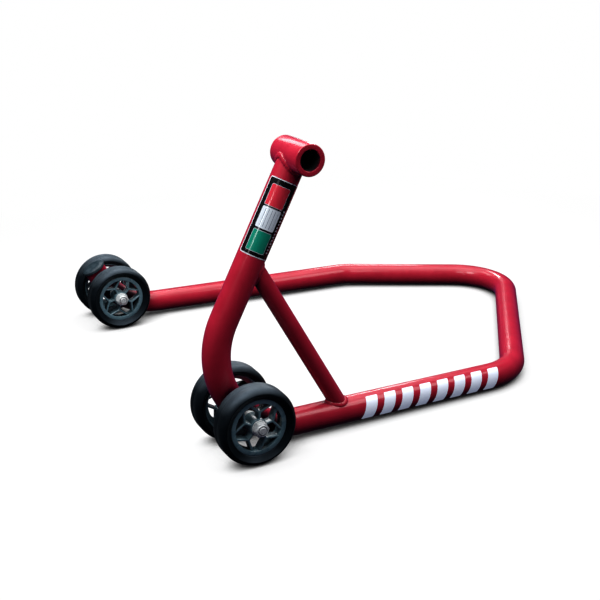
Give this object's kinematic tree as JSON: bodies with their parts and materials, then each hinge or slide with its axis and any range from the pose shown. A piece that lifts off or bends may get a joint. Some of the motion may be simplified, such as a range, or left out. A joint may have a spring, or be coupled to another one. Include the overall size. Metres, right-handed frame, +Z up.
{
  "type": "motorcycle paddock stand",
  "caption": "Single-sided rear paddock stand: a bent tube frame with a leaning post, a cross socket for a lifting pin, a brace, a ground-level handle loop and paired wheels.",
  "frame": {"origin": "on the pin socket's axis, in the middle plane of the post; the ground is 0.361 m below", "axes": "+X from the wheels back to the handle, +Y across from the near (pin socket) side to the far side, +Z up"},
  "size_m": [0.6971, 0.652, 0.38],
  "materials": {
    "red_paint": "glossy red powder coat",
    "zinc": "bright zinc plate",
    "slate_plastic": "dark slate moulded plastic",
    "tyre_rubber": "smooth black rubber",
    "bush_steel": "oiled plain bush",
    "black_plastic": "satin",
    "label_vinyl": "laminated sticker, black with a white keyline and three plain panels in red, silver and green",
    "white_vinyl": "cut vinyl bars"
  },
  "bodies": {
    "stand": {"frame_tube": "red_paint", "brace_tube": "red_paint", "pin_socket": "red_paint", "socket_bead": "red_paint", "brace_top_bead": "red_paint", "brace_foot_bead": "red_paint", "stub_end_plug": "black_plastic", "near_axle_sleeve": "red_paint", "near_nut_spacer": "zinc", "near_head_spacer": "zinc", "near_nut_washer": "zinc", "near_head_washer": "zinc", "near_bolt": "zinc", "near_lock_nut": "zinc", "far_axle_sleeve": "red_paint", "far_nut_spacer": "zinc", "far_head_spacer": "zinc", "far_nut_washer": "zinc", "far_head_washer": "zinc", "far_bolt": "zinc", "far_lock_nut": "zinc", "post_label": "label_vinyl", "rail_graphic": "white_vinyl"},
    "near_outer_wheel": {"near_outer_rim": "slate_plastic", "near_outer_tyre": "tyre_rubber", "near_outer_bush": "bush_steel"},
    "near_inner_wheel": {"near_inner_rim": "slate_plastic", "near_inner_tyre": "tyre_rubber", "near_inner_bush": "bush_steel"},
    "far_inner_wheel": {"far_inner_rim": "slate_plastic", "far_inner_tyre": "tyre_rubber", "far_inner_bush": "bush_steel"},
    "far_outer_wheel": {"far_outer_rim": "slate_plastic", "far_outer_tyre": "tyre_rubber", "far_outer_bush": "bush_steel"}
  },
  "joints": [
    {"name": "near_outer_spin", "type": "hinge", "parent": "stand", "child": "near_outer_wheel", "pos_m": [-0.0796, -0.038, -0.311], "axis": [0, 1, 0], "continuous": true},
    {"name": "near_inner_spin", "type": "hinge", "parent": "stand", "child": "near_inner_wheel", "pos_m": [-0.0796, 0.038, -0.311], "axis": [0, 1, 0], "continuous": true},
    {"name": "far_inner_spin", "type": "hinge", "parent": "stand", "child": "far_inner_wheel", "pos_m": [-0.0796, 0.4942, -0.311], "axis": [0, 1, 0], "continuous": true},
    {"name": "far_outer_spin", "type": "hinge", "parent": "stand", "child": "far_outer_wheel", "pos_m": [-0.0796, 0.5702, -0.311], "axis": [0, 1, 0], "continuous": true}
  ]
}
